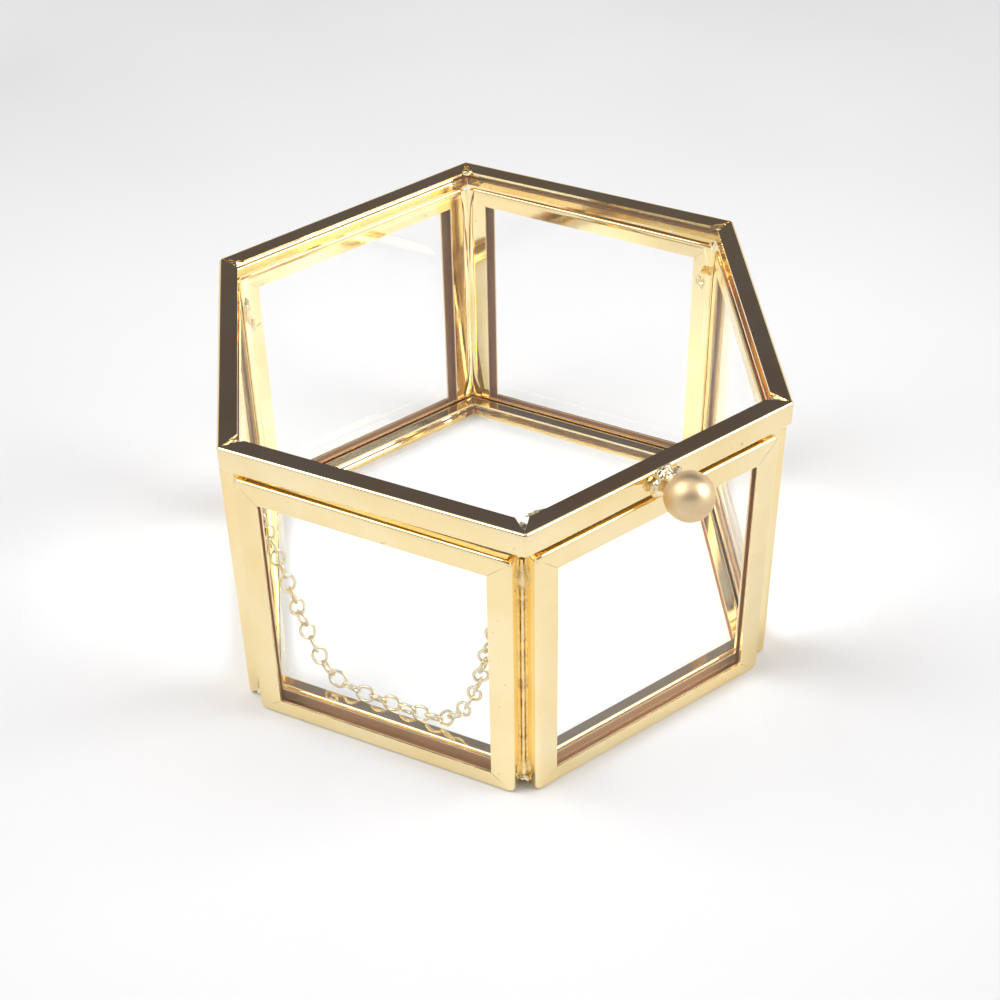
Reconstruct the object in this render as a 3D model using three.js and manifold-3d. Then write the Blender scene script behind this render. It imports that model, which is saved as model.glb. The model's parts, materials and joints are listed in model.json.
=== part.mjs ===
// Hexagonal glass jewelry box: six framed glass sides, a framed glass base, a hinged glass lid
// with a ball knob, and a fine chain that stops the lid.
// Millimetres, +Z up, underside on z = 0, knob side towards -Y, hinge side towards +Y.
import * as THREE from "three";
import { mergeVertices } from "three/addons/utils/BufferGeometryUtils.js";
import Module from "manifold-3d";

const wasm = await Module();
wasm.setup();

// ---- Driving dimensions ----
const LID_CORNER_RADIUS = 50; // centre of the lid to a corner
const SIDE_HEIGHT = 50.4; // height of the glazed sides
const FRONT_HEIGHT = 50.9; // the front side is a little taller than the rest
const SIDE_WIDTH = 46; // width of one framed side
const SIDE_APOTHEM = 43.4; // centre of the box to the outer face of a side
const LID_HEIGHT = 4.4;
const LID_TILT_DEG = 1.0; // the closed lid stays raised a little at the knob side
const LID_FORWARD = 0.4; // and it overhangs the front by this much
const GAP = 0.3; // clearance between neighbouring solids

// ---- Folded metal channel ----
const SHEET = 0.45; // metal thickness
const CHANNEL_DEPTH = 3.3; // side frame, outer face to inner face
const FOLD_RADIUS = 0.35; // rounding along a fold
const PANEL_CORNER_RADIUS = 1.2;
const OUTER_LIP = { side: 4.0, top: 4.0, bottom: 3.25 };
const INNER_LIP = { side: 3.3, top: 3.1, bottom: 3.9 };
const LID_LIP = 3.1;
const BASE_LIP = 2.1;
const BASE_HEIGHT = 3.8;
const TOP_SEAM = { width: 0.14, depth: 0.1 }; // mitre lines pressed into the upper corners
const BOTTOM_SEAM = { width: 0.26, depth: 0.2 }; // the lower corners are less tightly folded
const NOTCH_HALF_ANGLE_DEG = 20; // open wedge where two lips meet over a hexagon corner
const HEXAGON_CORNER = { rim: 0.8, slot: 0.4, lip: 0.2, glass: 0.3 }; // corner radii of the lid and the base
const CUT = 1; // how far a cutting solid runs past the face that it opens

// ---- Glass ----
const SIDE_GLASS = 2.0;
const BASE_GLASS = 2.4;
const LID_GLASS = 3.0;

// ---- Derived ----
const SIXTH_TURN = Math.PI / 3;
const COS30 = Math.cos(SIXTH_TURN / 2);
const SIDE_INNER_APOTHEM = SIDE_APOTHEM - CHANNEL_DEPTH;
const LID_APOTHEM = LID_CORNER_RADIUS * COS30;
const BASE_APOTHEM = SIDE_INNER_APOTHEM - GAP;
const BACK_GAP = 0.25; // lid rim above the sides at the hinge
const LID_BOTTOM = SIDE_HEIGHT + BACK_GAP;
const SIDE_NAMES = ["front", "front_right", "back_right", "back", "back_left", "front_left"];
const FRONT_NORMAL_DEG = 270;
const CENTRING_SHIFT = 3.344; // the knob reaches further out than the hinge; this centres the whole object

// ---- Solder bead in the groove between two sides ----
const SEAM = { inset: 0.55, depth: 1.1, halfWidth: 0.5, bottom: 1, top: SIDE_HEIGHT - 2 };

// ---- Hinge ----
const HINGE = {
  axisY: SIDE_APOTHEM + 1.75,
  axisZ: SIDE_HEIGHT + 0.2,
  outerRadius: 1.3,
  boreRadius: 0.75,
  pinRadius: 0.55,
  halfLength: 10,
  middleHalfLength: 5,
  plate: 0.6,
  bodyPlateHeight: 5.2, // below the axis
  lidPlateHeight: 3.0, // above the axis
  plateGap: 0.1, // leaf to the frame behind it
  pinOverhang: 0.4,
};

// ---- Knob ----
const KNOB_RADIUS = 3.8;
const KNOB_STANDOFF = 1.9; // ball surface to the lid rim
const KNOB_DROP = 1.7; // ball centre below the lid top
const COLLAR_LENGTH = KNOB_STANDOFF - 0.35;
const COLLAR_GAP = 0.15; // collar foot to the lid rim
// Solder collar as [radius, distance from its foot]: a wide foot drawn in to a neck.
const COLLAR_PROFILE = [
  [0, 0],
  [2.5, 0],
  [2.6, 0.35],
  [2.1, 0.75],
  [1.6, 1.0],
  [1.5, COLLAR_LENGTH],
  [0, COLLAR_LENGTH],
];

// ---- Chain ----
const CHAIN_RADIUS = 0.85;
const CHAIN_FACETS = 8;
const EYE_RADIUS = 1.1; // centre line of the small wire rings the chain hangs from
const EYE_WIRE = 0.3;
const BODY_EYE = { centre: new THREE.Vector3(-43, 2.7, 46.5), turnDeg: 150 };
const LID_EYE = { centre: new THREE.Vector3(-22.2, -38.0, 48.9), turnDeg: 240 }; // in the level lid
const LUG = { length: 3.4, width: 1.5, height: 1, along: 2.3, above: 1 }; // solder that fixes the lid's ring
// Down the left wall, along the base glass, and up to the front left corner of the lid.
const CHAIN_PIVOTS = [
  new THREE.Vector3(-43.0, 2.7, 45.4),
  new THREE.Vector3(-37.6, -8.5, 4.6),
  new THREE.Vector3(-27.6, -26.3, 4.8),
  new THREE.Vector3(-22.2, -38.3, 48.2),
];
const CHAIN_NAMES = ["chain_wall_run", "chain_base_run", "chain_lid_run"];
const RUN_END_GAP = 1.4; // each run stops short of the links that turn at its ends
const WALL_RING_GAP = 3; // the first run also stays clear of the ring it swings round

const brass = new THREE.MeshStandardMaterial({ color: 0xe9cf8b, roughness: 0.16, metalness: 1 });
const satin = new THREE.MeshStandardMaterial({ color: 0xd9b679, roughness: 0.38, metalness: 1 });
const paleGold = new THREE.MeshStandardMaterial({ color: 0xe6d3a0, roughness: 0.25, metalness: 1 });
const solder = new THREE.MeshStandardMaterial({ color: 0xcfb27a, roughness: 0.35, metalness: 1 });
const glass = new THREE.MeshStandardMaterial({
  color: 0xf3f8f6,
  roughness: 0.03,
  metalness: 0,
  transparent: true,
  opacity: 0.35,
});

// ---- Solids ----
function solidOf(geometry) {
  const bare = new THREE.BufferGeometry();
  bare.setAttribute("position", geometry.getAttribute("position"));
  if (geometry.index) {
    bare.setIndex(geometry.index);
  }
  const merged = mergeVertices(bare, 1e-4);
  return new wasm.Manifold(
    new wasm.Mesh({
      numProp: 3,
      vertProperties: new Float32Array(merged.getAttribute("position").array),
      triVerts: new Uint32Array(merged.index.array),
    }),
  );
}

function subtractAll(geometry, cutters) {
  return cutters.reduce((solid, cutter) => solid.subtract(solidOf(cutter)), solidOf(geometry));
}

function uniteAll(geometries) {
  return geometries.slice(1).reduce((solid, part) => solid.add(solidOf(part)), solidOf(geometries[0]));
}

function geometryOf(solid) {
  const mesh = solid.getMesh();
  const geometry = new THREE.BufferGeometry();
  geometry.setAttribute("position", new THREE.BufferAttribute(new Float32Array(mesh.vertProperties), 3));
  geometry.setIndex(new THREE.BufferAttribute(new Uint32Array(mesh.triVerts), 1));
  geometry.computeVertexNormals();
  return geometry;
}

function piece(name, shape, material) {
  const geometry = shape instanceof THREE.BufferGeometry ? geometryOf(solidOf(shape)) : geometryOf(shape);
  const mesh = new THREE.Mesh(geometry, material);
  mesh.name = name;
  return mesh;
}

// ---- Shapes of a side panel: drawn standing up, outer face towards -Y ----
function roundedRectangle(width, bottom, top, radius) {
  const half = width / 2;
  const shape = new THREE.Shape();
  shape.absarc(half - radius, bottom + radius, radius, -Math.PI / 2, 0, false);
  shape.absarc(half - radius, top - radius, radius, 0, Math.PI / 2, false);
  shape.absarc(-half + radius, top - radius, radius, Math.PI / 2, Math.PI, false);
  shape.absarc(-half + radius, bottom + radius, radius, Math.PI, Math.PI * 1.5, false);
  return shape;
}

function foldedPlate(width, bottom, top, innerApothem, outerApothem) {
  const thickness = outerApothem - innerApothem;
  const plate = new THREE.ExtrudeGeometry(roundedRectangle(width, bottom, top, PANEL_CORNER_RADIUS), {
    depth: thickness - 2 * FOLD_RADIUS,
    curveSegments: 4,
    bevelThickness: FOLD_RADIUS,
    bevelSize: FOLD_RADIUS,
    bevelOffset: -FOLD_RADIUS,
    bevelSegments: 2,
  });
  plate.rotateX(Math.PI / 2);
  plate.translate(0, -innerApothem - FOLD_RADIUS, 0);
  return plate;
}

function block(left, right, innerApothem, outerApothem, bottom, top) {
  const box = new THREE.BoxGeometry(right - left, outerApothem - innerApothem, top - bottom);
  box.translate((left + right) / 2, -(outerApothem + innerApothem) / 2, (top + bottom) / 2);
  return box;
}

// A thin groove on a face of the panel, from the corner of the opening to the corner of the frame.
function mitreGroove(opening, corner, apothem, seam) {
  const run = new THREE.Vector2().subVectors(corner, opening);
  const groove = new THREE.BoxGeometry(run.length() + CUT, seam.depth * 2, seam.width);
  groove.translate(run.length() / 2, 0, 0);
  groove.rotateY(-run.angle());
  groove.translate(opening.x, -apothem, opening.y);
  return groove;
}

function mitreGrooves(lip, apothem, height) {
  const grooves = [];
  for (const sign of [-1, 1]) {
    const openingX = sign * (SIDE_WIDTH / 2 - lip.side);
    const cornerX = (sign * SIDE_WIDTH) / 2;
    const topOpening = new THREE.Vector2(openingX, height - lip.top);
    const bottomOpening = new THREE.Vector2(openingX, lip.bottom);
    grooves.push(mitreGroove(topOpening, new THREE.Vector2(cornerX, height), apothem, TOP_SEAM));
    grooves.push(mitreGroove(bottomOpening, new THREE.Vector2(cornerX, 0), apothem, BOTTOM_SEAM));
  }
  return grooves;
}

function lipOpening(lip, innerApothem, outerApothem, height) {
  const half = SIDE_WIDTH / 2 - lip.side;
  return block(-half, half, innerApothem, outerApothem, lip.bottom, height - lip.top);
}

function sideFrame(height) {
  const middle = (SIDE_APOTHEM + SIDE_INNER_APOTHEM) / 2;
  const slotHalf = SIDE_WIDTH / 2 - SHEET;
  return subtractAll(foldedPlate(SIDE_WIDTH, 0, height, SIDE_INNER_APOTHEM, SIDE_APOTHEM), [
    block(-slotHalf, slotHalf, SIDE_INNER_APOTHEM + SHEET, SIDE_APOTHEM - SHEET, SHEET, height - SHEET),
    lipOpening(OUTER_LIP, middle, SIDE_APOTHEM + CUT, height),
    lipOpening(INNER_LIP, SIDE_INNER_APOTHEM - CUT, middle, height),
    ...mitreGrooves(OUTER_LIP, SIDE_APOTHEM, height),
    ...mitreGrooves(INNER_LIP, SIDE_INNER_APOTHEM, height),
  ]);
}

function sidePane(height) {
  const half = SIDE_WIDTH / 2 - SHEET - GAP;
  const centre = (SIDE_APOTHEM + SIDE_INNER_APOTHEM) / 2;
  const edge = SHEET + GAP;
  return block(-half, half, centre - SIDE_GLASS / 2, centre + SIDE_GLASS / 2, edge, height - edge);
}

// ---- Shapes of a flat hexagonal frame, lying on z = 0 ----
function hexagon(apothem, cornerRadius) {
  const shape = new THREE.Shape();
  const centreDistance = (apothem - cornerRadius) / COS30;
  for (let corner = 0; corner < SIDE_NAMES.length; corner += 1) {
    const angle = corner * SIXTH_TURN;
    const x = centreDistance * Math.cos(angle);
    const y = centreDistance * Math.sin(angle);
    shape.absarc(x, y, cornerRadius, angle - SIXTH_TURN / 2, angle + SIXTH_TURN / 2, false);
  }
  return shape;
}

function hexagonalSlab(apothem, cornerRadius, bottom, top, fold = 0) {
  const slab = new THREE.ExtrudeGeometry(hexagon(apothem, cornerRadius), {
    depth: top - bottom - 2 * fold,
    curveSegments: 3,
    bevelEnabled: fold > 0,
    bevelThickness: fold,
    bevelSize: fold,
    bevelOffset: -fold,
    bevelSegments: 2,
  });
  slab.translate(0, 0, bottom + fold);
  return slab;
}

// Wedge cut through the upper lip at one corner, its point just inside the corner of the rim.
function lipNotch(apothem, angle, bottom, top) {
  const point = (apothem - SHEET) / COS30 - GAP;
  const reach = 8;
  const halfWidth = reach * Math.tan(THREE.MathUtils.degToRad(NOTCH_HALF_ANGLE_DEG));
  const wedge = new THREE.Shape();
  wedge.moveTo(point, 0);
  wedge.lineTo(point - reach, halfWidth);
  wedge.lineTo(point - reach, -halfWidth);
  const notch = new THREE.ExtrudeGeometry(wedge, { depth: top - bottom, bevelEnabled: false });
  notch.translate(0, 0, bottom);
  notch.rotateZ(angle);
  return notch;
}

function hexagonalChannel(apothem, height, lip) {
  const middle = height / 2;
  const notches = SIDE_NAMES.map((_, corner) =>
    lipNotch(apothem, corner * SIXTH_TURN, middle, height + CUT),
  );
  return subtractAll(hexagonalSlab(apothem, HEXAGON_CORNER.rim, 0, height, FOLD_RADIUS), [
    hexagonalSlab(apothem - SHEET, HEXAGON_CORNER.slot, SHEET, height - SHEET),
    hexagonalSlab(apothem - lip, HEXAGON_CORNER.lip, middle, height + CUT),
    hexagonalSlab(apothem - lip, HEXAGON_CORNER.lip, -CUT, middle),
    ...notches,
  ]);
}

function hexagonalPane(apothem, height, thickness) {
  const centre = height / 2;
  const edge = apothem - SHEET - GAP;
  return hexagonalSlab(edge, HEXAGON_CORNER.glass, centre - thickness / 2, centre + thickness / 2);
}

// ---- Solder bead standing in the groove between two sides, drawn for the corner on +X ----
function cornerSeam() {
  const point = SIDE_INNER_APOTHEM / COS30 + SEAM.inset;
  const section = new THREE.Shape();
  section.moveTo(point, 0);
  section.lineTo(point + SEAM.depth, -SEAM.halfWidth);
  section.lineTo(point + SEAM.depth, SEAM.halfWidth);
  const bead = new THREE.ExtrudeGeometry(section, { depth: SEAM.top - SEAM.bottom, bevelEnabled: false });
  bead.translate(0, 0, SEAM.bottom);
  return bead;
}

// ---- Hinge: tubes along X ----
function tubeAlongX(radius, from, to) {
  const tube = new THREE.CylinderGeometry(radius, radius, to - from, 24);
  tube.rotateZ(Math.PI / 2);
  tube.translate((from + to) / 2, HINGE.axisY, HINGE.axisZ);
  return tube;
}

function hingeBore() {
  return tubeAlongX(HINGE.boreRadius, -HINGE.halfLength - CUT, HINGE.halfLength + CUT);
}

function hingePlate(left, right, bottom, top, faceY, thickness) {
  const plate = new THREE.BoxGeometry(right - left, thickness, top - bottom);
  plate.translate((left + right) / 2, faceY + thickness / 2, (top + bottom) / 2);
  return plate;
}

function bodyLeaf() {
  const { axisZ, outerRadius, halfLength, middleHalfLength } = HINGE;
  const face = SIDE_APOTHEM + HINGE.plateGap;
  const shoulder = middleHalfLength + GAP;
  const plateTop = axisZ - outerRadius - GAP;
  const bottom = axisZ - HINGE.bodyPlateHeight;
  const parts = [hingePlate(-halfLength, halfLength, bottom, plateTop, face, HINGE.plate)];
  for (const [from, to] of [[-halfLength, -shoulder], [shoulder, halfLength]]) {
    parts.push(tubeAlongX(outerRadius, from, to));
    parts.push(hingePlate(from, to, plateTop - CUT, axisZ, face, HINGE.plate));
  }
  return uniteAll(parts).subtract(solidOf(hingeBore()));
}

function lidLeaf() {
  const { axisZ, outerRadius, middleHalfLength: half } = HINGE;
  const face = LID_APOTHEM + HINGE.plateGap - LID_FORWARD;
  return uniteAll([
    tubeAlongX(outerRadius, -half, half),
    hingePlate(-half, half, axisZ, axisZ + HINGE.lidPlateHeight, face, HINGE.plate + LID_FORWARD),
  ]).subtract(solidOf(hingeBore()));
}

function hingePin() {
  const halfLength = HINGE.halfLength + HINGE.pinOverhang;
  return tubeAlongX(HINGE.pinRadius, -halfLength, halfLength);
}

// ---- Knob: turned on an axis that points out of the front, -Y ----
function turned(profile, segments) {
  const lathe = new THREE.LatheGeometry(profile.map(([r, h]) => new THREE.Vector2(r, h)), segments);
  lathe.rotateX(Math.PI);
  return lathe;
}

function knobCollar() {
  const collar = turned(COLLAR_PROFILE, 20);
  collar.translate(0, -LID_APOTHEM - COLLAR_GAP, LID_BOTTOM + LID_HEIGHT - KNOB_DROP);
  return collar;
}

function knobBall() {
  const ball = new THREE.SphereGeometry(KNOB_RADIUS, 28, 18);
  const out = LID_APOTHEM + KNOB_STANDOFF + KNOB_RADIUS;
  ball.translate(0, -out, LID_BOTTOM + LID_HEIGHT - KNOB_DROP);
  return ball;
}

// ---- Chain and the rings it hangs from ----
function uprightRing({ centre, turnDeg }) {
  const ring = new THREE.TorusGeometry(EYE_RADIUS, EYE_WIRE, 8, 20);
  ring.rotateX(Math.PI / 2);
  ring.rotateZ(THREE.MathUtils.degToRad(turnDeg));
  ring.translate(centre.x, centre.y, centre.z);
  return ring;
}

function lidEye() {
  const lug = new THREE.BoxGeometry(LUG.length, LUG.width, LUG.height);
  lug.translate(LUG.along, 0, LUG.above);
  lug.rotateZ(THREE.MathUtils.degToRad(LID_EYE.turnDeg));
  lug.translate(LID_EYE.centre.x, LID_EYE.centre.y, LID_EYE.centre.z);
  return uniteAll([uprightRing(LID_EYE), lug]);
}

// One straight run of the chain, between two of its pivots.
function chainRun(index) {
  const direction = new THREE.Vector3().subVectors(CHAIN_PIVOTS[index + 1], CHAIN_PIVOTS[index]).normalize();
  const startGap = index === 0 ? WALL_RING_GAP : RUN_END_GAP;
  const from = CHAIN_PIVOTS[index].clone().addScaledVector(direction, startGap);
  const to = CHAIN_PIVOTS[index + 1].clone().addScaledVector(direction, -RUN_END_GAP);
  const run = new THREE.CylinderGeometry(CHAIN_RADIUS, CHAIN_RADIUS, from.distanceTo(to), CHAIN_FACETS);
  run.applyQuaternion(new THREE.Quaternion().setFromUnitVectors(new THREE.Vector3(0, 1, 0), direction));
  const middle = new THREE.Vector3().addVectors(from, to).multiplyScalar(0.5);
  run.translate(middle.x, middle.y, middle.z);
  return run;
}

// ---- Assembly ----
const box = new THREE.Group();
box.name = "jewelry_box";
box.position.y = CENTRING_SHIFT;

const body = new THREE.Group();
body.name = "body";
box.add(body);

SIDE_NAMES.forEach((side, index) => {
  const turn = index * SIXTH_TURN;
  const height = side === "front" ? FRONT_HEIGHT : SIDE_HEIGHT;
  const frame = piece(`side_frame_${side}`, sideFrame(height), brass);
  const pane = piece(`side_pane_${side}`, sidePane(height), glass);
  const seam = piece(`corner_seam_${side}`, cornerSeam(), solder);
  frame.rotation.z = turn;
  pane.rotation.z = turn;
  seam.rotation.z = turn + THREE.MathUtils.degToRad(FRONT_NORMAL_DEG) + SIXTH_TURN / 2;
  body.add(frame, pane, seam);
});

body.add(piece("base_frame", hexagonalChannel(BASE_APOTHEM, BASE_HEIGHT, BASE_LIP), brass));
body.add(piece("base_pane", hexagonalPane(BASE_APOTHEM, BASE_HEIGHT, BASE_GLASS), glass));
body.add(piece("hinge_leaf_body", bodyLeaf(), brass));
body.add(piece("hinge_pin", hingePin(), brass));
body.add(piece("chain_eye_body", uprightRing(BODY_EYE), solder));
CHAIN_NAMES.forEach((name, index) => body.add(piece(name, chainRun(index), paleGold)));

// The lid is drawn level and then tipped about the hinge axis.
const lidFrame = piece("lid_frame", hexagonalChannel(LID_APOTHEM, LID_HEIGHT, LID_LIP), brass);
const lidPane = piece("lid_pane", hexagonalPane(LID_APOTHEM, LID_HEIGHT, LID_GLASS), glass);
lidFrame.geometry.translate(0, 0, LID_BOTTOM);
lidPane.geometry.translate(0, 0, LID_BOTTOM);

const lid = new THREE.Group();
lid.name = "lid";
lid.position.set(0, HINGE.axisY, HINGE.axisZ);
lid.rotation.x = THREE.MathUtils.degToRad(-LID_TILT_DEG);
const lidParts = [
  lidFrame,
  lidPane,
  piece("knob_collar", knobCollar(), solder),
  piece("knob_ball", knobBall(), satin),
  piece("chain_eye_lid", lidEye(), solder),
];
for (const part of lidParts) {
  part.position.set(0, -HINGE.axisY - LID_FORWARD, -HINGE.axisZ);
  lid.add(part);
}
const lidHalf = piece("hinge_leaf_lid", lidLeaf(), brass);
lidHalf.position.set(0, -HINGE.axisY, -HINGE.axisZ);
lid.add(lidHalf);
box.add(lid);

export default box;
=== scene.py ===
"""Looks of the hexagonal glass jewelry box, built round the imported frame. Everything is in metres, +Z up."""
import json
import math
import random

import bpy
from mathutils import Matrix, Vector, noise


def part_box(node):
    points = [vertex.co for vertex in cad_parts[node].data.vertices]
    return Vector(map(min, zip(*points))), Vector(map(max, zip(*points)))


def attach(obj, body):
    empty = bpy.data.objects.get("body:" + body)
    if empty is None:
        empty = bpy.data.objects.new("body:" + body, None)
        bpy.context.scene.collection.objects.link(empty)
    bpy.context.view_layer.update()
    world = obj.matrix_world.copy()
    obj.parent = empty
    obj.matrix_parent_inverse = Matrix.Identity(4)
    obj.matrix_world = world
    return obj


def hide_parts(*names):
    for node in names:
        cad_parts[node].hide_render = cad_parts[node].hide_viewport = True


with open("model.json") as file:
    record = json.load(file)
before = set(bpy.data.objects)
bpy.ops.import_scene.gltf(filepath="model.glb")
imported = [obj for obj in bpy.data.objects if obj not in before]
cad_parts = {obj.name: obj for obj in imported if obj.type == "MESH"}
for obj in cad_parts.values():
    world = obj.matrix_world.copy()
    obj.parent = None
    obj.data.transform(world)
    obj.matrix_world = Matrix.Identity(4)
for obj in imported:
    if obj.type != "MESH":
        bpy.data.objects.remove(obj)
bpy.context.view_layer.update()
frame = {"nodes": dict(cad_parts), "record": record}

MM = 0.001
SIDES = ["front", "front_right", "back_right", "back", "back_left", "front_left"]
SIXTH = math.pi / 3
COS30 = math.cos(math.pi / 6)
TAN30 = math.tan(math.pi / 6)


def extent(node):
    low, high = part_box(node)
    return Vector(low), Vector(high)


# ---- Sizes, worked out from the frame ----
FRONT_LOW, FRONT_HIGH = extent("side_frame_front")
BASE_LOW, BASE_HIGH = extent("base_frame")
CENTRE_Y = (BASE_LOW.y + BASE_HIGH.y) / 2
SIDE_WIDTH = FRONT_HIGH.x - FRONT_LOW.x
SIDE_HEIGHT = extent("side_frame_back")[1].z
SIDE_APOTHEM = CENTRE_Y - FRONT_LOW.y
SIDE_INNER_APOTHEM = CENTRE_Y - FRONT_HIGH.y
BASE_APOTHEM = (BASE_HIGH.y - BASE_LOW.y) / 2
BASE_HEIGHT = BASE_HIGH.z - BASE_LOW.z
LID_APOTHEM = 50 * MM * COS30
LID_HEIGHT = 4.4 * MM
LID_TILT = math.radians(1.0)
LID_FORWARD = 0.4 * MM
HINGE_AXIS = Vector((0, CENTRE_Y + 45.15 * MM, 50.6 * MM))
LID_BOTTOM = SIDE_HEIGHT + 0.25 * MM

# ---- Sizes of the folded brass strip ----
SHEET = 0.45 * MM
FOLD = 0.5 * MM
PANEL_CORNER = 1.2 * MM
RIM_INNER_POINTS = 4  # the same for the rim of a hexagonal frame
INNER_POINTS = 6  # points of a channel's section that lie inside the fold
HEXAGON_CORNER = 0.8 * MM
LID_LIP = 3.1 * MM
BASE_LIP = 2.1 * MM


# ---- Camera ----
def make_camera():
    azimuth = math.radians(-34.84)
    elevation = math.radians(41.79)
    roll = math.radians(-1.06)
    distance = 0.3926
    aim = Vector((0.02112, CENTRE_Y + 0.02867, -0.01304))
    outward = Vector((
        math.cos(elevation) * math.sin(azimuth),
        -math.cos(elevation) * math.cos(azimuth),
        math.sin(elevation),
    ))
    right = (-outward).cross(Vector((0, 0, 1))).normalized()
    up = right.cross(-outward)
    turned_right = right * math.cos(roll) + up * math.sin(roll)
    turned_up = up * math.cos(roll) - right * math.sin(roll)
    basis = Matrix((turned_right, turned_up, outward)).transposed()
    camera = bpy.data.objects.new("camera", bpy.data.cameras.new("camera"))
    camera.data.sensor_width = 36
    camera.data.lens = 72.78
    camera.data.clip_start = 0.01
    camera.data.dof.use_dof = False
    camera.matrix_world = Matrix.Translation(aim + outward * distance) @ basis.to_4x4()
    bpy.context.scene.collection.objects.link(camera)
    bpy.context.scene.camera = camera


# ---- Node helpers ----
class Nodes:
    """A short way to write a material's node tree."""

    def __init__(self, name):
        self.material = bpy.data.materials.new(name)
        self.material.use_nodes = True
        self.tree = self.material.node_tree
        self.tree.nodes.clear()
        self.output = self.tree.nodes.new("ShaderNodeOutputMaterial")
        self.coordinates = self.tree.nodes.new("ShaderNodeTexCoord").outputs["Object"]

    def add(self, kind, **inputs):
        node = self.tree.nodes.new("ShaderNode" + kind)
        for name, value in inputs.items():
            self.put(node.inputs[name.replace("_", " ")], value)
        return node

    def put(self, socket, value):
        if isinstance(value, bpy.types.NodeSocket):
            self.tree.links.new(value, socket)
        else:
            socket.default_value = value

    def noise(self, scale, detail=3.0, roughness=0.5, stretch=None):
        vector = self.coordinates
        if stretch:
            mapping = self.add("Mapping", Vector=vector, Scale=stretch)
            vector = mapping.outputs["Vector"]
        node = self.add("TexNoise", Vector=vector, Scale=scale, Detail=detail, Roughness=roughness)
        return node.outputs["Fac"]

    def spread(self, value, low, high, from_low=0.35, from_high=0.65):
        node = self.add("MapRange", Value=value)
        node.inputs["From Min"].default_value = from_low
        node.inputs["From Max"].default_value = from_high
        self.put(node.inputs["To Min"], low)
        self.put(node.inputs["To Max"], high)
        return node.outputs["Result"]

    def mix(self, factor, first, second):
        node = self.tree.nodes.new("ShaderNodeMix")
        node.data_type = "RGBA"
        self.put(node.inputs[0], factor)
        self.put(node.inputs[6], first)
        self.put(node.inputs[7], second)
        return node.outputs[2]

    def bump(self, height, strength, distance, normal=None):
        node = self.add("Bump", Height=height, Strength=strength, Distance=distance)
        if normal is not None:
            self.put(node.inputs["Normal"], normal)
        return node.outputs["Normal"]

    def finish(self, shader):
        self.tree.links.new(shader, self.output.inputs["Surface"])
        return self.material


# ---- Materials ----
def polished_brass(name, pale, deep):
    """Gold-plated polished strip: pale and deep gold in soft clouds, a few dull specks and wiped patches.
    The inside of the folded channel, marked by the attribute, is rougher unpolished brass, and is painted dark brown
    and less metallic as shade inside the channel."""
    n = Nodes(name)
    clouds = n.noise(70, detail=3)
    specks = n.spread(n.noise(700, detail=2), 0, 0.8, 0.72, 0.78)
    smears = n.spread(n.noise(220, detail=4), 0, 1, 0.55, 0.75)
    inside = n.tree.nodes.new("ShaderNodeAttribute")
    inside.attribute_name = "inside"
    unpolished_and_shaded_inside = inside.outputs["Fac"]
    colour = n.mix(n.spread(clouds, 0, 1), pale, deep)
    colour = n.mix(specks, colour, (0.6, 0.38, 0.16, 1))
    # Painted shade inside the channel: dark brown colour and lower metallic. The higher roughness is the unpolished
    # brass.
    colour = n.mix(unpolished_and_shaded_inside, colour, (0.52, 0.30, 0.14, 1))
    roughness = n.spread(unpolished_and_shaded_inside, n.spread(smears, 0.05, 0.14, 0, 1), 0.45, 0, 1)
    metallic = n.spread(unpolished_and_shaded_inside, 1.0, 0.4, 0, 1)
    waves = n.noise(80, detail=1)
    normal = n.bump(waves, 0.12, 0.0006)
    shader = n.add("BsdfPrincipled", Base_Color=colour, Metallic=metallic, Roughness=roughness, Normal=normal)
    return n.finish(shader.outputs["BSDF"])


def satin_gold():
    """Ball knob: fine blasted grain under a thin lacquer."""
    n = Nodes("satin_gold")
    grain = n.noise(9000, detail=2)
    clouds = n.noise(300, detail=3)
    colour = n.mix(n.spread(clouds, 0, 1), (0.80, 0.62, 0.38, 1), (0.74, 0.55, 0.31, 1))
    roughness = n.spread(clouds, 0.40, 0.48)
    normal = n.bump(grain, 0.12, 0.00003)
    shader = n.add("BsdfPrincipled", Base_Color=colour, Metallic=1.0, Roughness=roughness, Normal=normal)
    return n.finish(shader.outputs["BSDF"])


def solder_gold():
    """Gold-washed solder: lumpy, with duller grey patches where the wash is thin."""
    n = Nodes("solder_gold")
    lumps = n.noise(1400, detail=3, roughness=0.6)
    patches = n.noise(700, detail=3)
    colour = n.mix(n.spread(patches, 0, 1, 0.4, 0.75), (0.93, 0.80, 0.52, 1), (0.66, 0.55, 0.38, 1))
    roughness = n.spread(patches, 0.1, 0.3)
    normal = n.bump(lumps, 0.4, 0.0002)
    shader = n.add("BsdfPrincipled", Base_Color=colour, Metallic=1.0, Roughness=roughness, Normal=normal)
    return n.finish(shader.outputs["BSDF"])


def chain_gold():
    """Fine plated wire, worn towards silver here and there."""
    n = Nodes("chain_gold")
    wear = n.noise(600, detail=3)
    colour = n.mix(n.spread(wear, 0, 1, 0.4, 0.7), (0.87, 0.77, 0.51, 1), (0.72, 0.68, 0.55, 1))
    roughness = n.spread(wear, 0.12, 0.26)
    normal = n.bump(n.noise(4000, detail=2), 0.2, 0.00004)
    shader = n.add("BsdfPrincipled", Base_Color=colour, Metallic=1.0, Roughness=roughness, Normal=normal)
    return n.finish(shader.outputs["BSDF"])


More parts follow.
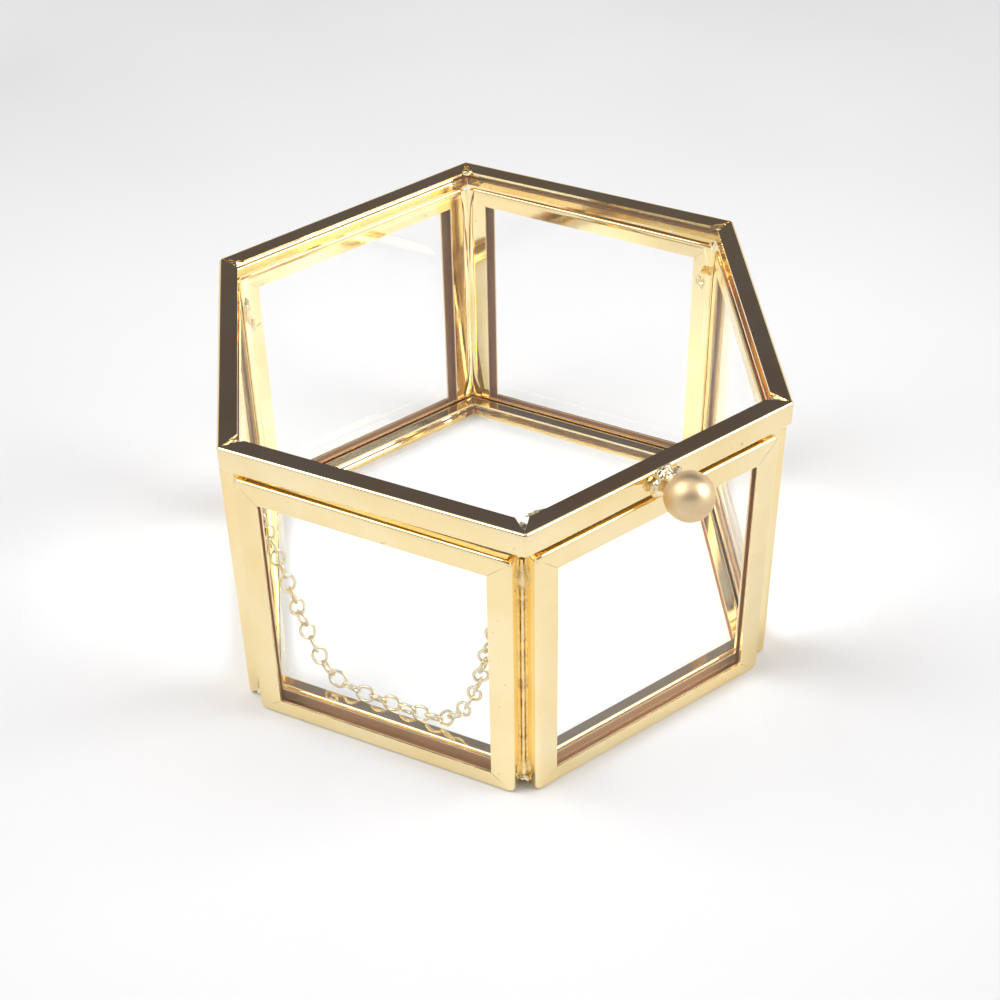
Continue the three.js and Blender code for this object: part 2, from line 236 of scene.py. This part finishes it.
def clear_glass():
    """Thin cut pane: a little waviness and faint wipe marks, and a faint painted glow; lamps shine through it."""
    n = Nodes("clear_glass")
    wipes = n.noise(120, detail=5, roughness=0.65, stretch=(1, 1, 0.3))
    roughness = n.spread(wipes, 0.0, 0.012, 0.45, 0.8)
    normal = n.bump(n.noise(40, detail=1), 0.03, 0.0005)
    glass = n.add("BsdfPrincipled", Roughness=roughness, Normal=normal)
    glass.inputs["Base Color"].default_value = (0.998, 1.0, 0.999, 1)
    glass.inputs["Transmission Weight"].default_value = 1.0
    glass.inputs["IOR"].default_value = 1.28
    # Painted glow: a faint warm emission brightens the pane, though it is no lamp.
    glass.inputs["Emission Color"].default_value = (1.0, 0.96, 0.97, 1)
    glass.inputs["Emission Strength"].default_value = 0.012
    clear = n.add("BsdfTransparent", Color=(0.99, 0.995, 0.993, 1))
    mixer = n.tree.nodes.new("ShaderNodeMixShader")
    n.put(mixer.inputs[0], n.tree.nodes.new("ShaderNodeLightPath").outputs["Is Shadow Ray"])
    n.put(mixer.inputs[1], glass.outputs["BSDF"])
    n.put(mixer.inputs[2], clear.outputs["BSDF"])
    return n.finish(mixer.outputs["Shader"])


def pale_floor():
    """Pale board, lighter near the box as a painted pool of light and greyer away from it, that fades into a painted
    white glow far off.
    """
    n = Nodes("pale_floor")
    distance = n.tree.nodes.new("ShaderNodeVectorMath")
    distance.operation = "LENGTH"
    n.put(distance.inputs[0], n.coordinates)
    tone = n.mix(n.spread(n.noise(3, detail=4), 0, 1), (0.79, 0.79, 0.79, 1), (0.76, 0.76, 0.765, 1))
    # Painted pool of light: the board is lighter near the box and turns greyer from 0.09 m to 0.22 m away.
    far = n.mix(n.spread(n.noise(9, detail=3), 0, 1), (0.66, 0.66, 0.66, 1), (0.60, 0.60, 0.605, 1))
    tone = n.mix(n.spread(distance.outputs["Value"], 0, 1, 0.09, 0.22), tone, far)
    normal = n.bump(n.noise(1500, detail=3), 0.05, 0.0001)
    board = n.add("BsdfPrincipled", Base_Color=tone, Roughness=0.8, Normal=normal)
    # Painted glow: from 0.35 m out the floor turns into white emission, though it is no lamp.
    painted_far_glow = n.add("Emission", Color=(0.93, 0.93, 0.93, 1), Strength=1.0)
    mixer = n.tree.nodes.new("ShaderNodeMixShader")
    n.put(mixer.inputs[0], n.spread(distance.outputs["Value"], 0, 1, 0.35, 1.1))
    n.put(mixer.inputs[1], board.outputs["BSDF"])
    n.put(mixer.inputs[2], painted_far_glow.outputs["Emission"])
    return n.finish(mixer.outputs["Shader"])


# ---- Mesh helpers ----
def mesh_object(name, vertices, faces, material, sharp_degrees=35, inside=None):
    mesh = bpy.data.meshes.new(name)
    mesh.from_pydata([tuple(v) for v in vertices], [], faces)
    if inside:
        mesh.attributes.new("inside", "FLOAT", "POINT").data.foreach_set("value", inside)
    mesh.validate()
    mesh.polygons.foreach_set("use_smooth", [True] * len(mesh.polygons))
    mesh.set_sharp_from_angle(angle=math.radians(sharp_degrees))
    mesh.materials.append(material)
    item = bpy.data.objects.new(name, mesh)
    bpy.context.scene.collection.objects.link(item)
    return item


def lifted(vertices):
    """Nothing is pushed below the floor."""
    return [Vector((v.x, v.y, max(v.z, 0.0))) for v in vertices]


def channel_profile(first_lip, second_lip, depth):
    """Closed section of a folded channel as (inset from the outer edge, distance from the second face).
    The first lip lies on the face at distance depth, the second on the face at 0."""
    steps = 5
    outer = [(first_lip, depth)]
    outer += [(u, depth) for u in (first_lip * 0.66, first_lip * 0.33) if u > FOLD]
    for i in range(steps + 1):
        angle = math.pi / 2 * i / steps
        outer.append((FOLD - FOLD * math.sin(angle), depth - FOLD + FOLD * math.cos(angle)))
    for i in range(steps + 1):
        angle = math.pi / 2 * i / steps
        outer.append((FOLD - FOLD * math.cos(angle), FOLD - FOLD * math.sin(angle)))
    outer += [(u, 0.0) for u in (second_lip * 0.33, second_lip * 0.66) if u > FOLD]
    outer.append((second_lip, 0.0))
    inner = [
        (second_lip, SHEET),
        (SHEET * 1.2, SHEET),
        (SHEET, SHEET * 1.2),
        (SHEET, depth - SHEET * 1.2),
        (SHEET * 1.2, depth - SHEET),
        (first_lip, depth - SHEET),
    ]
    return outer, inner


def ripple(point, seed, amount):
    """A smooth small push, so that reflections in the thin strip are not perfectly straight."""
    scaled = point * 55 + Vector((seed * 3.7, seed * 1.3, seed * 2.1))
    return noise.noise_vector(scaled) * amount


def strip(profile, length, end_at, corner_radius=0.0, rows=14):
    """One straight length of channel along X, outer edge on inset 0, as grid rows of (x, inset, depth).
    end_at(inset, depth) gives where the mitre cuts it, from the middle."""
    outer, inner = profile
    ring = outer + inner
    straight = 0.9 if corner_radius else 1.0
    bend_rows = 4 if corner_radius else 0
    fractions = [straight * i / rows for i in range(rows + 1)]
    fractions += [straight + (1 - straight) * (i + 1) / bend_rows for i in range(bend_rows)]
    stations = [-f for f in reversed(fractions[1:])] + fractions
    grid = []
    for station in stations:
        sign = math.copysign(1, station)
        share = abs(station)
        row = []
        for inset, depth in ring:
            if inset < corner_radius:
                x, bent = bent_corner(inset, share, straight, length, corner_radius)
            else:
                x, bent = share * end_at(inset, depth), inset
            row.append((sign * x, bent, depth))
        grid.append(row)
    return grid


def bent_corner(inset, share, straight, length, radius):
    start = length / 2 - radius
    if share <= straight:
        return share / straight * start, inset
    angle = math.pi / 4 * (share - straight) / (1 - straight)
    reach = radius - inset
    return start + reach * math.sin(angle), radius - reach * math.cos(angle)


def grid_faces(grid, offset):
    rows, ring = len(grid), len(grid[0])
    faces = []
    for r in range(rows - 1):
        for k in range(ring):
            following = (k + 1) % ring
            a, b = offset + r * ring + k, offset + r * ring + following
            faces.append((a, a + ring, b + ring, b))
    faces.append(tuple(offset + k for k in range(ring)))
    faces.append(tuple(offset + (rows - 1) * ring + k for k in reversed(range(ring))))
    return faces


def framed(name, strips, place, material, seed, wobble=0.02 * MM):
    """Joins grids of strip points into one object. place maps (strip number, x, inset, depth) to a point."""
    vertices, faces, inside = [], [], []
    for number, grid in enumerate(strips):
        faces += grid_faces(grid, len(vertices))
        for row in grid:
            for k, (x, inset, depth) in enumerate(row):
                point = place(number, x, inset, depth)
                vertices.append(point + ripple(point, seed + number, wobble))
                inside.append(1.0 if k >= len(row) - INNER_POINTS else 0.0)
    return mesh_object(name, lifted(vertices), faces, material, inside=inside)


# ---- Folded frames ----
OUTER_LIP = {"side": 4.0 * MM, "top": 4.0 * MM, "bottom": 3.25 * MM}
INNER_LIP = {"side": 3.3 * MM, "top": 3.1 * MM, "bottom": 3.9 * MM}
MITRE_GAP = 0.035 * MM


def mitred_end(length, this, other):
    """The cut of a strip named this where it meets the strip named other."""
    half_depth = (SIDE_APOTHEM - SIDE_INNER_APOTHEM) / 2

    def end_at(inset, depth):
        lip = OUTER_LIP if depth > half_depth else INNER_LIP
        return length / 2 - inset * lip[other] / lip[this] - MITRE_GAP

    return end_at


def side_strip(this, length, low_end, high_end):
    depth = SIDE_APOTHEM - SIDE_INNER_APOTHEM
    profile = channel_profile(OUTER_LIP[this], INNER_LIP[this], depth)
    low = strip(profile, length, mitred_end(length, this, low_end), PANEL_CORNER)
    high = strip(profile, length, mitred_end(length, this, high_end), PANEL_CORNER)
    middle = len(low) // 2
    return low[:middle] + high[middle:]


def side_frame(side, index, material):
    turn = Matrix.Rotation(index * SIXTH, 4, "Z")
    height = extent(f"side_frame_{side}")[1].z
    strips = [
        side_strip("bottom", SIDE_WIDTH, "side", "side"),
        side_strip("side", height, "bottom", "top"),
        side_strip("top", SIDE_WIDTH, "side", "side"),
        side_strip("side", height, "top", "bottom"),
    ]

    def place(number, x, inset, depth):
        half_width, half_height = SIDE_WIDTH / 2, height / 2
        flat = [
            (x, inset - half_height),
            (half_width - inset, x),
            (-x, half_height - inset),
            (inset - half_width, -x),
        ][number]
        point = Vector((flat[0], -SIDE_INNER_APOTHEM - depth, flat[1] + half_height))
        return turn @ point + Vector((0, CENTRE_Y, 0))

    item = framed(f"folded_side_{side}", strips, place, material, index * 10)
    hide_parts(f"side_frame_{side}")
    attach(item, "box")
    return item


def hexagon_rim(apothem, profile):
    """The outer fold of a hexagonal frame as one closed ring of rows, rounded at its six corners."""
    straight = (apothem - HEXAGON_CORNER) * TAN30
    stations, bend_steps = 16, 6
    rows = []
    for number in range(6):
        turn = Matrix.Rotation(number * SIXTH, 4, "Z")
        for i in range(stations):
            x = straight * (2 * i / stations - 1)
            rows.append([turn @ Vector((x, inset - apothem, depth)) for inset, depth in profile])
        for i in range(bend_steps):
            angle = SIXTH * i / bend_steps
            heading = Vector((math.sin(angle), -math.cos(angle), 0))
            pivot = Vector((straight, HEXAGON_CORNER - apothem, 0))
            row = []
            for inset, depth in profile:
                flat = pivot + heading * (HEXAGON_CORNER - inset)
                row.append(turn @ Vector((flat.x, flat.y, depth)))
            rows.append(row)
    return rows


def rim_profile(height):
    """Section of the outer fold: the web with the first stretch of both lips, as far as the corner radius."""
    steps = 6
    edge = HEXAGON_CORNER
    outer = [(edge, height)]
    for i in range(steps + 1):
        angle = math.pi / 2 * i / steps
        outer.append((FOLD - FOLD * math.sin(angle), height - FOLD + FOLD * math.cos(angle)))
    for i in range(steps + 1):
        angle = math.pi / 2 * i / steps
        outer.append((FOLD - FOLD * math.cos(angle), FOLD - FOLD * math.sin(angle)))
    outer.append((edge, 0.0))
    inner = [(edge, SHEET), (SHEET, SHEET), (SHEET, height - SHEET), (edge, height - SHEET)]
    return outer + inner


def hexagon_lips(apothem, height, lip, wedge):
    """The flat lips inside the rim, one above and one below on each side; the upper ones are cut back to
    an open wedge at each corner."""
    length = 2 * apothem * TAN30
    start = HEXAGON_CORNER
    grids = []
    for low, high, spread in ((height - SHEET, height, wedge), (0.0, SHEET, 0.0)):
        profile = ([(start, high), ((start + lip) / 2, high), (lip, high)], [(lip, low), (start, low)])

        def end_at(inset, depth):
            return length / 2 - inset * TAN30 - MITRE_GAP - (inset - start) * spread

        grids.append(strip(profile, length, end_at, rows=16))
    return grids


def hexagonal_frame(name, apothem, height, lip, wedge, transform, material):
    vertices, faces = [], []
    rim = hexagon_rim(apothem, rim_profile(height))
    ring = len(rim[0])
    for row in rim:
        vertices += [transform @ point for point in row]
    inside = ([0.0] * (ring - RIM_INNER_POINTS) + [1.0] * RIM_INNER_POINTS) * len(rim)
    for r in range(len(rim)):
        following = (r + 1) % len(rim)
        for k in range(ring):
            across = (k + 1) % ring
            faces.append((r * ring + k, following * ring + k, following * ring + across, r * ring + across))
    for number in range(6):
        turn = Matrix.Rotation(number * SIXTH, 4, "Z")
        for grid in hexagon_lips(apothem, height, lip, wedge):
            faces += grid_faces(grid, len(vertices))
            for row in grid:
                vertices += [transform @ (turn @ Vector((x, inset - apothem, depth))) for x, inset, depth in row]
                inside += [0.0] * len(row)
    seed = len(name)
    wobble = 0.015 * MM
    vertices = [point + ripple(point, seed, wobble) for point in vertices]
    return mesh_object(name, lifted(vertices), faces, material, inside=inside)


def lid_transform():
    """Level lid about the centre of the hexagon, then tipped about the hinge."""
    tip = Matrix.Translation(HINGE_AXIS) @ Matrix.Rotation(-LID_TILT, 4, "X") @ Matrix.Translation(-HINGE_AXIS)
    return tip @ Matrix.Translation((0, CENTRE_Y - LID_FORWARD, LID_BOTTOM))


# ---- Solder ----
def bell(value, centre, width):
    return math.exp(-((value - centre) / width) ** 2)


def corner_place(index):
    """Frame of one upright corner of the box: the outward bisector and the tangent, as unit vectors."""
    angle = index * SIXTH + SIXTH / 2 - math.pi / 2
    return Vector((math.cos(angle), math.sin(angle), 0)), Vector((-math.sin(angle), math.cos(angle), 0))


def outer_bead(index, rng):
    """Lumpy line of solder in the groove between two sides, with a blob near the top and one at the foot."""
    outward, across = corner_place(index)
    reach = SIDE_INNER_APOTHEM / COS30
    low, high = 1.0 * MM, SIDE_HEIGHT - 1.6 * MM
    top_blob = rng.uniform(0.82, 0.93)
    foot_blob = rng.uniform(0.02, 0.06)
    rows, columns = 150, 9
    grid = []
    for r in range(rows + 1):
        share = r / rows
        z = low + (high - low) * share
        lumps = noise.noise(Vector((index * 9.1, 0, z * 520))) * 0.5 + noise.noise(Vector((index * 4.3, 7, z * 1500))) * 0.5
        blob = bell(share, top_blob, 0.03) + 0.8 * bell(share, foot_blob, 0.03)
        half = (0.30 + 0.10 * lumps + 0.4 * blob) * MM
        rise = (0.50 + 0.10 * lumps + 0.8 * blob) * MM
        drift = noise.noise(Vector((index * 2.7, 3, z * 130))) * 0.08 * MM
        row = []
        for c in range(columns):
            turn = math.pi * (c / (columns - 1) - 0.5)
            x = half * math.sin(turn) + drift
            out = reach + rise * math.cos(turn) * 0.55 + rise * 0.45 - 0.35 * abs(x)
            row.append(outward * out + across * x + Vector((0, CENTRE_Y, z)))
        grid.append(row)
    return grid


def inner_fillet(index, rng):
    """Thin skin of solder run into the corner on the inside, wider where it pooled at the foot and the top."""
    outward, across = corner_place(index)
    corner = SIDE_INNER_APOTHEM / COS30 - 0.05 * MM
    low, high = 3.6 * MM, SIDE_HEIGHT - 0.3 * MM
    top_pool = rng.uniform(0.3, 0.9)
    foot_pool = rng.uniform(0.5, 1.3)
    rows, columns = 120, 13
    grid = []
    for r in range(rows + 1):
        share = r / rows
        z = low + (high - low) * share
        row = []
        for c in range(columns):
            side = 2 * c / (columns - 1) - 1
            ragged = noise.noise(Vector((index * 5.3 + (2 if side > 0 else 0), 1, z * 200)))
            width = (0.9 + 0.12 * ragged + top_pool * bell(share, 1, 0.07) + foot_pool * bell(share, 0, 0.08)) * MM
            lip = abs(side) * width
            crease = noise.noise(Vector((side * 3 + index, z * 120, 5)))
            skin = (0.12 * (1 - side * side) + 0.03 + 0.02 * crease * (1 - side * side)) * MM
            out = corner - 0.5 * lip - skin
            row.append(outward * out + across * math.copysign(0.866 * lip, side) + Vector((0, CENTRE_Y, z)))
        grid.append(row)
    return grid


def sheet_faces(grid, offset, flip=False):
    faces = []
    columns = len(grid[0])
    for r in range(len(grid) - 1):
        for c in range(columns - 1):
            a = offset + r * columns + c
            face = (a, a + 1, a + 1 + columns, a + columns)
            faces.append(tuple(reversed(face)) if flip else face)
    return faces


def grid_object(name, grid, material, flip=False):
    return mesh_object(name, [point for row in grid for point in row], sheet_faces(grid, 0, flip), material, 80)


def corner_solder(side, index, solder, brass):
    rng = random.Random(100 + index)
    bead = grid_object(f"solder_{side}", outer_bead(index, rng), solder)
    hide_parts(f"corner_seam_{side}")
    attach(bead, "box")
    fillet = grid_object(f"corner_fillet_{side}", inner_fillet(index, rng), brass, flip=True)
    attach(fillet, "box")


def lid_corner_drops(material):
    """Solder showing in the wedges between the lid's upper lips."""
    place = lid_transform()
    for index in range(6):
        outward, across = corner_place(index)
        rng = random.Random(40 + index)
        reach = LID_APOTHEM / COS30 - rng.uniform(1.9, 2.4) * MM
        centre = place @ (outward * reach + Vector((0, 0, LID_HEIGHT - 0.62 * MM)))
        radii = (rng.uniform(1.4, 1.8) * MM, rng.uniform(0.9, 1.2) * MM, 0.35 * MM)
        drop = lumpy_blob(f"lid_drop_{index}", centre, radii, (outward, across, WORLD_AXES[2]), 0.3, material, index)
        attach(drop, "lid")


def lumpy_blob(name, centre, radii, axes, lumps, material, seed, steps=28):
    """A drop of solder: an ellipsoid along the given axes, pushed in and out by noise."""
    vertices, faces = [], []
    for i in range(steps + 1):
        polar = math.pi * i / steps
        for j in range(2 * steps):
            around = math.pi * j / steps
            unit = Vector((math.sin(polar) * math.cos(around), math.sin(polar) * math.sin(around), math.cos(polar)))
            swell = 1 + lumps * noise.noise(unit * 1.7 + Vector((seed, 0, 0)))
            swell += 0.4 * lumps * noise.noise(unit * 4.5 + Vector((0, seed, 0)))
            point = centre.copy()
            for axis, radius, part in zip(axes, radii, unit):
                point += axis * radius * part * swell
            vertices.append(point)
    ring = 2 * steps
    for i in range(steps):
        for j in range(ring):
            following = (j + 1) % ring
            faces.append((i * ring + j, (i + 1) * ring + j, (i + 1) * ring + following, i * ring + following))
    return mesh_object(name, vertices, faces, material, 80)


WORLD_AXES = (Vector((1, 0, 0)), Vector((0, 1, 0)), Vector((0, 0, 1)))


def middle_of(node):
    low, high = extent(node)
    return (low + high) / 2


def knob(satin, solder):
    low, high = extent("knob_ball")
    radius = (high.x - low.x) / 2
    ball = lumpy_blob("round_knob", middle_of("knob_ball"), (radius,) * 3, WORLD_AXES, 0.0, satin, 0, steps=40)
    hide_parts("knob_ball")
    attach(ball, "lid")
    centre = middle_of("knob_collar") + Vector((-0.2 * MM, 0.2 * MM, -0.5 * MM))
    collar = lumpy_blob("solder_collar", centre, (2.7 * MM, 1.5 * MM, 2.5 * MM), WORLD_AXES, 0.28, solder, 4)
    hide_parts("knob_collar")
    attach(collar, "lid")


# Solder left on the strips: body, middle in mm from the middle of the hexagon, radii in mm, turn about +Z in degrees.
SOLDER_MARKS = [
    ("lid", (-19.4, -39.2, 54.45), (1.7, 0.45, 0.22), -14),
    ("box", (-25.9, -39.7, 47.7), (0.6, 0.45, 0.55), -30),
    ("box", (-22.9, 38.75, 44.6), (0.5, 0.22, 2.2), 0),
    ("box", (-22.2, 38.75, 41.3), (0.35, 0.2, 1.2), 0),
    ("box", (44.0, 0.3, 44.1), (0.5, 0.9, 0.8), 0),
    ("box", (-47.5, 0.2, 1.7), (0.6, 0.9, 1.2), 0),
    ("box", (-23.4, -40.4, 1.7), (0.9, 0.9, 0.9), 0),
]


def solder_marks(material):
    for index, (body, middle, radii, turn) in enumerate(SOLDER_MARKS):
        turned = [Matrix.Rotation(math.radians(turn), 3, "Z") @ axis for axis in WORLD_AXES]
        centre = Vector(middle) * MM + Vector((0, CENTRE_Y, 0))
        sizes = [radius * MM for radius in radii]
        mark = lumpy_blob(f"solder_mark_{index}", centre, sizes, turned, 0.8, material, 11 + index)
        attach(mark, body)


# ---- Chain ----
LINK_PITCH = 2.56 * MM
LINK_HALF_LENGTH = 1.49 * MM
LINK_HALF_WIDTH = 1.14 * MM
LINK_WIRE = 0.27 * MM
LINK_FACING = Vector((-0.43, -0.61, 0.67))  # every second link lies square to this
CHAIN_PATH = [
    (-43, 2.7, 45.4), (-42.3, 1.6, 36), (-40.9, -0.8, 25.5), (-39.4, -3.6, 14.5), (-37.9, -6.7, 7.2),
    (-35.8, -10.8, 4.7), (-32, -17.8, 4.5), (-28.6, -24, 4.8), (-27.1, -27.4, 7.3), (-26, -29.8, 11.5),
    (-25.2, -31.6, 17), (-24.5, -33.2, 25), (-23.3, -36, 37.5), (-22.2, -38.3, 48.2),
]
CHAIN_BENDS = (Vector((-37.6, -8.5, 4.6)), Vector((-27.6, -26.3, 4.8)))
CHAIN_RUNS = ("wall", "base", "lid")


def smooth_path(points, steps=24):
    """Catmull-Rom curve through the points, as a dense list."""
    ends = [points[0] * 2 - points[1]] + points + [points[-1] * 2 - points[-2]]
    dense = []
    for a, b, c, d in zip(ends, ends[1:], ends[2:], ends[3:]):
        for i in range(steps):
            t = i / steps
            dense.append(0.5 * (2 * b + (c - a) * t + (2 * a - 5 * b + 4 * c - d) * t * t
                                + (3 * b - a - 3 * c + d) * t ** 3))
    dense.append(points[-1])
    return dense


def link_points(centre, along, spin):
    """Centre line rings of one oval link, lying in the plane of along and a side turned by spin."""
    side = along.cross(LINK_FACING).normalized()
    side = Matrix.Rotation(spin, 3, along) @ side
    normal = along.cross(side)
    rings = []
    around, tube = 26, 8
    for i in range(around):
        angle = math.tau * i / around
        radial = (along * math.cos(angle) * LINK_HALF_WIDTH + side * math.sin(angle) * LINK_HALF_LENGTH).normalized()
        spot = centre + along * math.cos(angle) * LINK_HALF_LENGTH + side * math.sin(angle) * LINK_HALF_WIDTH
        ring = []
        for k in range(tube):
            bend = math.tau * k / tube
            ring.append(spot + (radial * math.cos(bend) + normal * math.sin(bend)) * LINK_WIRE)
        rings.append(ring)
    return rings


def chain_links(material):
    rng = random.Random(7)
    path = smooth_path([Vector(point) * MM for point in CHAIN_PATH])
    lengths = [0.0]
    for a, b in zip(path, path[1:]):
        lengths.append(lengths[-1] + (b - a).length)
    count = round(lengths[-1] / LINK_PITCH)
    pitch = lengths[-1] / count
    bends = [lengths[min(range(len(path)), key=lambda i: (path[i] - bend * MM).length)] for bend in CHAIN_BENDS]
    meshes = {run: ([], []) for run in CHAIN_RUNS}
    for number in range(count):
        reach = (number + 0.5) * pitch
        place = max(i for i in range(len(path)) if lengths[i] <= reach)
        ahead, behind = path[min(place + 9, len(path) - 1)], path[max(place - 9, 0)]
        along = (ahead - behind).normalized()
        spin = math.radians(75 * (number % 2) + rng.uniform(-20, 20))
        run = CHAIN_RUNS[sum(reach > bend for bend in bends)]
        vertices, faces = meshes[run]
        rings = link_points(path[place] + Vector((0, CENTRE_Y, 0)), along, spin)
        start = len(vertices)
        tube = len(rings[0])
        for i in range(len(rings)):
            for k in range(tube):
                following, across = (i + 1) % len(rings), (k + 1) % tube
                faces.append((
                    start + i * tube + k,
                    start + i * tube + across,
                    start + following * tube + across,
                    start + following * tube + k,
                ))
        for ring in rings:
            vertices += ring
    for run in CHAIN_RUNS:
        item = mesh_object(f"links_{run}", *meshes[run], material, 80)
        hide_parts(f"chain_{run}_run")
        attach(item, f"chain_{run}")
    print("CHAIN", count, "links", round(lengths[-1] / MM, 1), "mm")


# ---- Floor and light ----
def make_floor(material):
    reach = 6.0
    corners = [(-reach, -reach, 0), (reach, -reach, 0), (reach, reach, 0), (-reach, reach, 0)]
    floor = mesh_object("floor", corners, [(0, 1, 2, 3)], material)


SKY = [
    (0.0, (0.95, 0.95, 0.95)),
    (0.28, (0.90, 0.90, 0.90)),
    (0.46, (0.13, 0.12, 0.14)),
    (0.60, (0.10, 0.09, 0.12)),
    (0.82, (0.12, 0.11, 0.13)),
    (0.90, (1.0, 1.0, 1.0)),
]


def make_world():
    """A bright band at the horizon, dark above it, and a bright opening overhead."""
    world = bpy.data.worlds.new("studio")
    bpy.context.scene.world = world
    world.use_nodes = True
    tree = world.node_tree
    tree.nodes.clear()
    place = tree.nodes.new("ShaderNodeTexCoord")
    split = tree.nodes.new("ShaderNodeSeparateXYZ")
    tree.links.new(place.outputs["Generated"], split.inputs["Vector"])
    ramp = tree.nodes.new("ShaderNodeValToRGB")
    tree.links.new(split.outputs["Z"], ramp.inputs["Fac"])
    elements = ramp.color_ramp.elements
    while len(elements) < len(SKY):
        elements.new(0.5)
    for element, (at, colour) in zip(elements, SKY):
        element.position = at
        element.color = (*colour, 1)
    background = tree.nodes.new("ShaderNodeBackground")
    tree.links.new(ramp.outputs["Color"], background.inputs["Color"])
    background.inputs["Strength"].default_value = 1.0
    output = tree.nodes.new("ShaderNodeOutputWorld")
    tree.links.new(background.outputs["Background"], output.inputs["Surface"])


def softbox(name, direction, distance, size, power):
    light = bpy.data.lights.new(name, "AREA")
    light.shape = "DISK"
    light.size = size
    light.energy = power
    lamp = bpy.data.objects.new(name, light)
    centre = Vector((0, CENTRE_Y, 0.025))
    lamp.location = centre + Vector(direction).normalized() * distance
    lamp.rotation_euler = Vector(direction).to_track_quat("Z", "Y").to_euler()
    bpy.context.scene.collection.objects.link(lamp)


def set_colour():
    scene = bpy.context.scene
    scene.view_settings.view_transform = "Standard"
    scene.cycles.max_bounces = 24
    scene.cycles.glossy_bounces = 10
    scene.cycles.transmission_bounces = 20
    scene.cycles.transparent_max_bounces = 24


# ---- Assembly ----
def main():
    make_camera()
    brass = polished_brass("polished_brass", (0.98, 0.83, 0.50, 1), (0.95, 0.75, 0.39, 1))
    satin = satin_gold()
    solder = solder_gold()
    chain = chain_gold()
    glass = clear_glass()
    looks = {
        "polished_brass": brass,
        "satin_gold": satin,
        "solder_gold": solder,
        "chain_gold": chain,
        "clear_glass": glass,
    }
    for part in frame["record"]["subparts"]:
        item = frame["nodes"][part["node"]]
        item.data.materials.clear()
        item.data.materials.append(looks[part["material_slot"]])
    for index, side in enumerate(SIDES):
        side_frame(side, index, brass)
        corner_solder(side, index, solder, brass)
    lid_corner_drops(solder)
    chain_links(chain)
    knob(satin, solder)
    solder_marks(solder)
    base_place = Matrix.Translation((0, CENTRE_Y, 0))
    base = hexagonal_frame("folded_base", BASE_APOTHEM, BASE_HEIGHT, BASE_LIP, 0.0, base_place, brass)
    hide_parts("base_frame")
    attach(base, "box")
    lid = hexagonal_frame("folded_lid", LID_APOTHEM, LID_HEIGHT, LID_LIP, 0.5, lid_transform(), brass)
    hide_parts("lid_frame")
    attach(lid, "lid")
    make_floor(pale_floor())
    make_world()
    softbox("left_lamp", (-0.54, 0.31, 0.78), 1.4, 1.0, 13.0)
    softbox("right_lamp", (0.62, -0.53, 0.58), 1.4, 1.0, 13.0)
    set_colour()


main()
